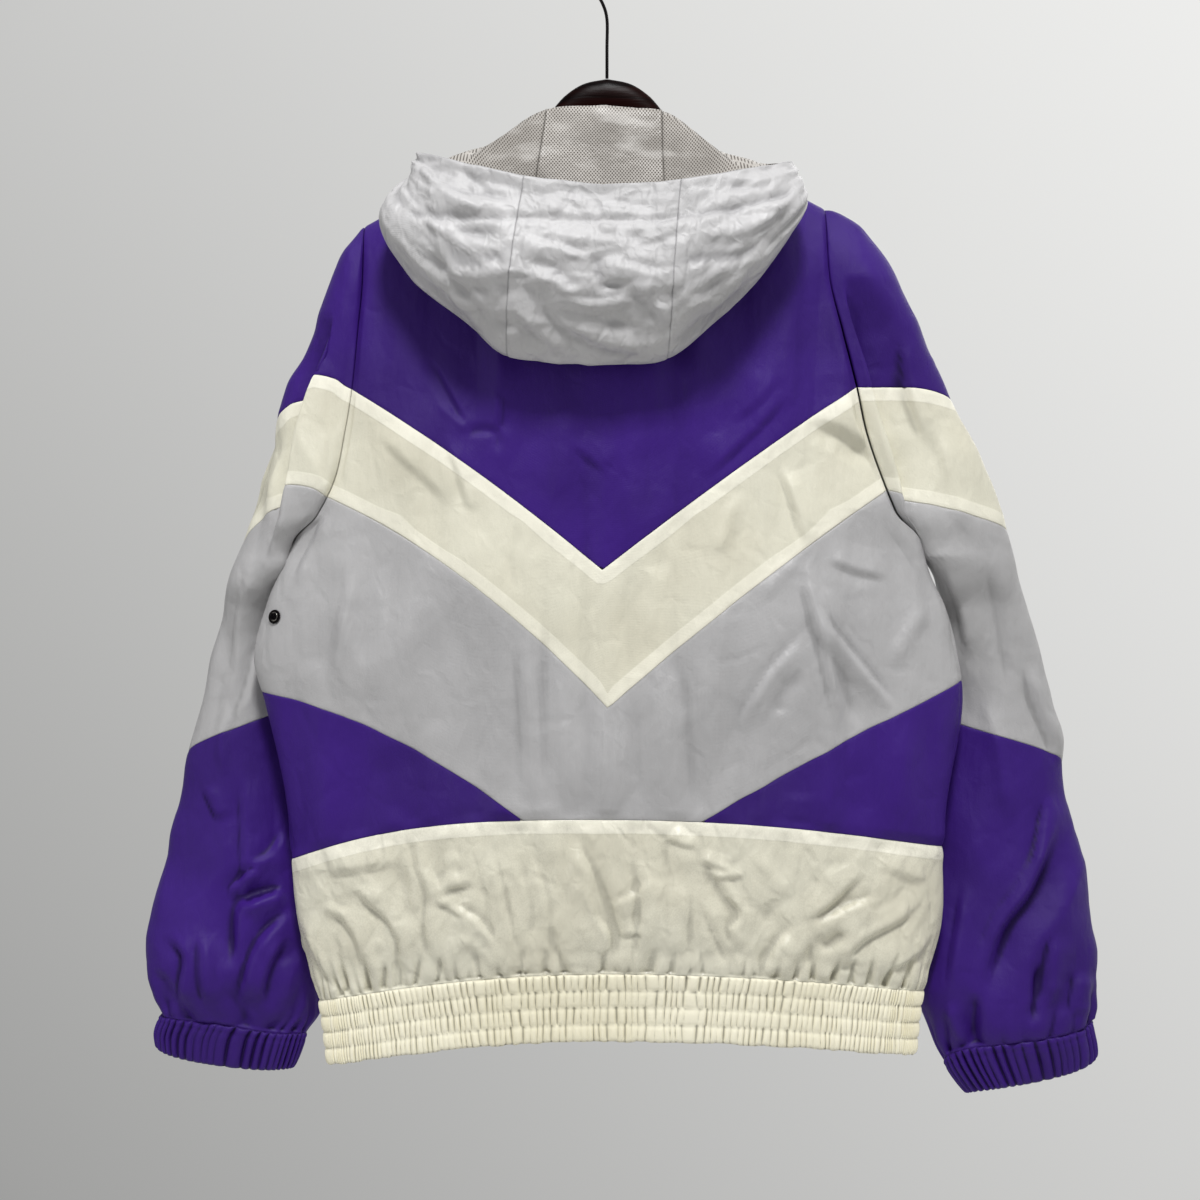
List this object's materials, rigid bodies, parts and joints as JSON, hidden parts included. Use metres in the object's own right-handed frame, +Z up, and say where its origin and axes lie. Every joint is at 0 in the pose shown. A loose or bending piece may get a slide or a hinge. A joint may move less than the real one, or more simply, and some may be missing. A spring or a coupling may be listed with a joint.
{
  "type": "hooded windbreaker jacket on a hanger",
  "caption": "Hooded windbreaker with chevron colour blocks, closed centre zip, elastic hem band and gathered cuffs, hanging on a wooden hanger with a wire hook.",
  "frame": {"origin": "the point where the inside of the hanger's hook bears on its rail", "axes": "+Z up, the jacket's back faces -Y and its zipped front +Y, the wearer's left is -X"},
  "size_m": [0.8233, 0.2001, 1.0005],
  "materials": {
    "purple_shell": "crisp purple nylon shell with a soft sheen",
    "cream_shell": "crisp cream nylon shell with a soft sheen",
    "hem_elastic": "ivory shirred elastic band",
    "grey_shell": "crisp grey nylon shell with a soft sheen",
    "hood_shell": "crumpled pale grey nylon with a slightly silvery sheen",
    "mesh_lining": "warm grey open knit mesh",
    "zip_tape": "grey woven tape",
    "zip_coil": "grey nylon coil",
    "dark_metal": "gunmetal, smooth",
    "dark_wood": "near-black mahogany stain under lacquer"
  },
  "bodies": {
    "jacket": {"back_yoke": "purple_shell", "back_stripe": "cream_shell", "back_chevron": "grey_shell", "back_skirt": "cream_shell", "back_side_left": "purple_shell", "back_side_right": "purple_shell", "front_yoke_left": "purple_shell", "front_stripe_left": "cream_shell", "front_chevron_left": "grey_shell", "front_side_left": "purple_shell", "front_skirt_left": "cream_shell", "front_yoke_right": "purple_shell", "front_stripe_right": "cream_shell", "front_chevron_right": "grey_shell", "front_side_right": "purple_shell", "front_skirt_right": "cream_shell", "hem_band": "hem_elastic", "sleeve_left_cap": "purple_shell", "sleeve_left_stripe": "cream_shell", "sleeve_left_grey": "grey_shell", "sleeve_left_lower": "purple_shell", "sleeve_left_cuff": "purple_shell", "sleeve_right_cap": "purple_shell", "sleeve_right_stripe": "cream_shell", "sleeve_right_grey": "grey_shell", "sleeve_right_lower": "purple_shell", "sleeve_right_cuff": "purple_shell", "hood_shell_left": "hood_shell", "hood_shell_centre": "hood_shell", "hood_shell_right": "hood_shell", "hood_lining_left": "mesh_lining", "hood_lining_centre": "mesh_lining", "hood_lining_right": "mesh_lining", "zip_tape_left": "zip_tape", "zip_tape_right": "zip_tape", "zip_coil": "zip_coil", "zip_slider": "dark_metal", "pocket_welt_left": "grey_shell", "pocket_welt_right": "grey_shell", "snap_left": "dark_metal", "snap_right": "dark_metal", "hanger_wood": "dark_wood", "hanger_hook": "dark_metal"},
    "pull_tab": {"zip_pull": "dark_metal"}
  },
  "joints": [
    {"name": "pull_tab_hinge", "type": "hinge", "parent": "jacket", "child": "pull_tab", "pos_m": [0, 0.06349, -0.2055], "axis": [1, 0, 0], "range_deg": [0, 150]}
  ]
}
